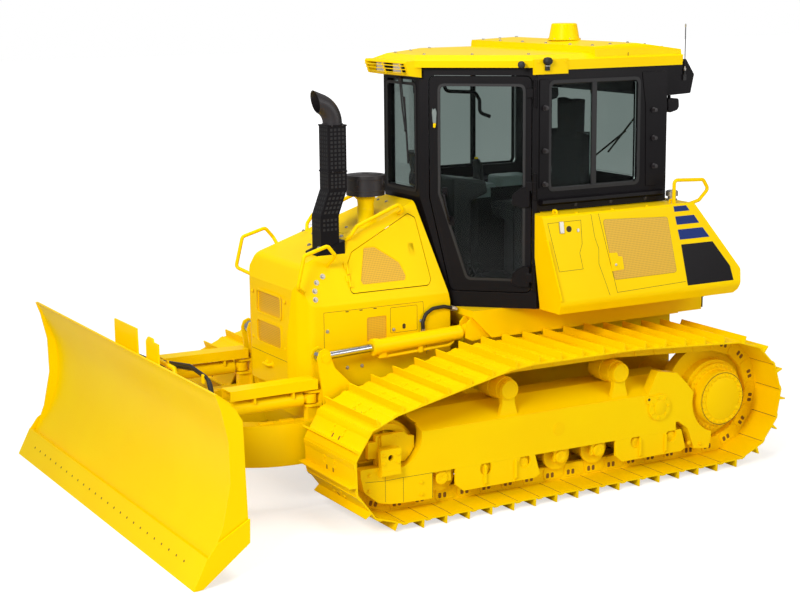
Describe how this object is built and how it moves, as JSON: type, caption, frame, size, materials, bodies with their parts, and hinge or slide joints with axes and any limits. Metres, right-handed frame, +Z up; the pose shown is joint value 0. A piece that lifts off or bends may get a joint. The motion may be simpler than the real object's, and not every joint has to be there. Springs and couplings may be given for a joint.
{
  "type": "crawler bulldozer",
  "caption": "Tracked bulldozer with wide shoes, an angling and tilting front blade on a C-shaped push frame, a sloping engine cover and a glazed cab.",
  "frame": {"origin": "on the ground under the grouser tips, at the middle of the overall length and on the centre plane", "axes": "+X forwards towards the blade, +Y to the left of the driver, +Z up"},
  "size_m": [4.7329, 3.35, 3.11],
  "materials": {
    "yellow_paint": "semi-gloss",
    "black_paint": "satin",
    "perforated_screen": "fine round holes",
    "cast_steel": "painted dark",
    "black_plastic": "matte",
    "grey_plastic": "matte",
    "cab_glass": "clear",
    "rod_chrome": "polished",
    "seat_fabric": "woven",
    "exhaust_steel": "heat-worn"
  },
  "bodies": {
    "machine": {"track_left": "yellow_paint", "track_right": "yellow_paint", "sprockets": "yellow_paint", "idlers": "yellow_paint", "carrier_rollers": "yellow_paint", "track_rollers": "yellow_paint", "track_frames": "yellow_paint", "idler_mounts": "yellow_paint", "roller_guards": "yellow_paint", "main_frame": "yellow_paint", "drawbar": "yellow_paint", "engine_block": "cast_steel", "nose_mask": "yellow_paint", "hood": "yellow_paint", "vent_screens": "perforated_screen", "exhaust_pipe": "exhaust_steel", "exhaust_guard": "black_paint", "intake_neck": "yellow_paint", "precleaner": "black_plastic", "cab_frame": "black_paint", "cab_windows": "cab_glass", "cab_roof": "yellow_paint", "front_lamps": "black_paint", "cab_rear_box": "black_paint", "roof_dome": "yellow_paint", "antenna": "black_plastic", "seat_base": "black_paint", "seat_cushion": "seat_fabric", "seat_back": "seat_fabric", "side_consoles": "grey_plastic", "dash_post": "grey_plastic", "tank_left": "yellow_paint", "tank_right": "yellow_paint", "rear_cowl": "yellow_paint", "handrails": "yellow_paint"},
    "cab_door_left": {"door_left": "black_paint", "door_glass_left": "cab_glass"},
    "cab_door_right": {"door_right": "black_paint", "door_glass_right": "cab_glass"},
    "hood_door_left": {"engine_door_left": "yellow_paint"},
    "hood_door_right": {"engine_door_right": "yellow_paint"},
    "grille_door": {"rear_grille": "black_paint"},
    "fan": {"cooling_fan": "black_plastic"},
    "push_frame": {"c_frame": "yellow_paint"},
    "swivel_block": {"blade_swivel": "yellow_paint"},
    "dozer_blade": {"blade": "yellow_paint", "cutting_edge": "yellow_paint", "blade_brackets": "yellow_paint"},
    "lift_cylinder_left": {"lift_barrel_left": "yellow_paint"},
    "lift_cylinder_right": {"lift_barrel_right": "yellow_paint"},
    "lift_piston_left": {"lift_rod_left": "rod_chrome"},
    "lift_piston_right": {"lift_rod_right": "rod_chrome"},
    "angle_cylinder_left": {"angle_barrel_left": "yellow_paint", "angle_cover_left": "yellow_paint"},
    "angle_cylinder_right": {"angle_barrel_right": "yellow_paint", "angle_cover_right": "yellow_paint"},
    "angle_piston_left": {"angle_rod_left": "rod_chrome"},
    "angle_piston_right": {"angle_rod_right": "rod_chrome"},
    "tilt_cylinder": {"tilt_barrel": "yellow_paint"},
    "tilt_piston": {"tilt_rod": "rod_chrome"}
  },
  "joints": [
    {"name": "blade_lift", "type": "hinge", "parent": "machine", "child": "push_frame", "pos_m": [0.22, 0, 0.45], "axis": [0, -1, 0], "range_deg": [-12.5, 28]},
    {"name": "blade_angle", "type": "hinge", "parent": "push_frame", "child": "swivel_block", "pos_m": [1.85, 0, 0.52], "axis": [0, 0, 1], "range_deg": [-25, 25]},
    {"name": "blade_tilt", "type": "hinge", "parent": "swivel_block", "child": "dozer_blade", "pos_m": [1.85, 0, 0.52], "axis": [1, 0, 0], "range_deg": [-6, 6]},
    {"name": "lift_swing_left", "type": "hinge", "parent": "machine", "child": "lift_cylinder_left", "pos_m": [-0.182, 0.555, 1.05], "axis": [0, -1, 0], "range_deg": [-8.3, 18.3]},
    {"name": "lift_stroke_left", "type": "slide", "parent": "lift_cylinder_left", "child": "lift_piston_left", "axis": [0.9991, 0, -0.0423], "range_m": [-0.303, 0.137]},
    {"name": "angle_swing_left", "type": "hinge", "parent": "push_frame", "child": "angle_cylinder_left", "pos_m": [1.045, 0.545, 0.735], "axis": [0, 0, 1], "range_deg": [-3.7, 3.7]},
    {"name": "angle_stroke_left", "type": "slide", "parent": "angle_cylinder_left", "child": "angle_piston_left", "axis": [0.9995, 0.0329, 0], "range_m": [-0.246, 0.246]},
    {"name": "cab_door_swing_left", "type": "hinge", "parent": "machine", "child": "cab_door_left", "pos_m": [-0.55486, 0.8068, 0], "axis": [0, 0, 1], "range_deg": [0, 105]},
    {"name": "hood_door_swing_left", "type": "hinge", "parent": "machine", "child": "hood_door_left", "pos_m": [0.658, 0.45749, 1.3128], "axis": [0, 0.3502, -0.9367], "range_deg": [0, 80]},
    {"name": "lift_swing_right", "type": "hinge", "parent": "machine", "child": "lift_cylinder_right", "pos_m": [-0.182, -0.555, 1.05], "axis": [0, -1, 0], "range_deg": [-8.3, 18.3]},
    {"name": "lift_stroke_right", "type": "slide", "parent": "lift_cylinder_right", "child": "lift_piston_right", "axis": [0.9991, 0, -0.0423], "range_m": [-0.303, 0.137]},
    {"name": "angle_swing_right", "type": "hinge", "parent": "push_frame", "child": "angle_cylinder_right", "pos_m": [1.045, -0.545, 0.735], "axis": [0, 0, 1], "range_deg": [-3.7, 3.7]},
    {"name": "angle_stroke_right", "type": "slide", "parent": "angle_cylinder_right", "child": "angle_piston_right", "axis": [0.9995, -0.0329, 0], "range_m": [-0.246, 0.246]},
    {"name": "cab_door_swing_right", "type": "hinge", "parent": "machine", "child": "cab_door_right", "pos_m": [-0.55486, -0.8068, 0], "axis": [0, 0, -1], "range_deg": [0, 105]},
    {"name": "hood_door_swing_right", "type": "hinge", "parent": "machine", "child": "hood_door_right", "pos_m": [0.658, -0.45749, 1.3128], "axis": [0, 0.3502, 0.9367], "range_deg": [0, 80]},
    {"name": "tilt_swing", "type": "hinge", "parent": "swivel_block", "child": "tilt_cylinder", "pos_m": [1.99, 0, 0.88], "axis": [1, 0, 0], "range_deg": [-6.2, 6.2]},
    {"name": "tilt_stroke", "type": "slide", "parent": "tilt_cylinder", "child": "tilt_piston", "axis": [0, -1, 0], "range_m": [-0.039, 0.039]},
    {"name": "grille_swing", "type": "hinge", "parent": "machine", "child": "grille_door", "pos_m": [-2.204, 0, 1.506], "axis": [0, 1, 0], "range_deg": [0, 80]},
    {"name": "fan_spin", "type": "hinge", "parent": "machine", "child": "fan", "pos_m": [-2.088, 0, 1.25], "axis": [1, 0, 0], "continuous": true}
  ],
  "couplings": [
    {"joint": "lift_swing_left", "follows": "blade_lift", "ratio": 0.645},
    {"joint": "lift_stroke_left", "follows": "blade_lift", "m_per_rad": -0.615},
    {"joint": "angle_swing_left", "follows": "blade_angle", "ratio": 0.14},
    {"joint": "angle_stroke_left", "follows": "blade_angle", "m_per_rad": -0.56},
    {"joint": "lift_swing_right", "follows": "blade_lift", "ratio": 0.645},
    {"joint": "lift_stroke_right", "follows": "blade_lift", "m_per_rad": -0.615},
    {"joint": "angle_swing_right", "follows": "blade_angle", "ratio": 0.14},
    {"joint": "angle_stroke_right", "follows": "blade_angle", "m_per_rad": 0.56},
    {"joint": "tilt_swing", "follows": "blade_tilt", "ratio": 1},
    {"joint": "tilt_stroke", "follows": "blade_tilt", "m_per_rad": 0.3593}
  ]
}
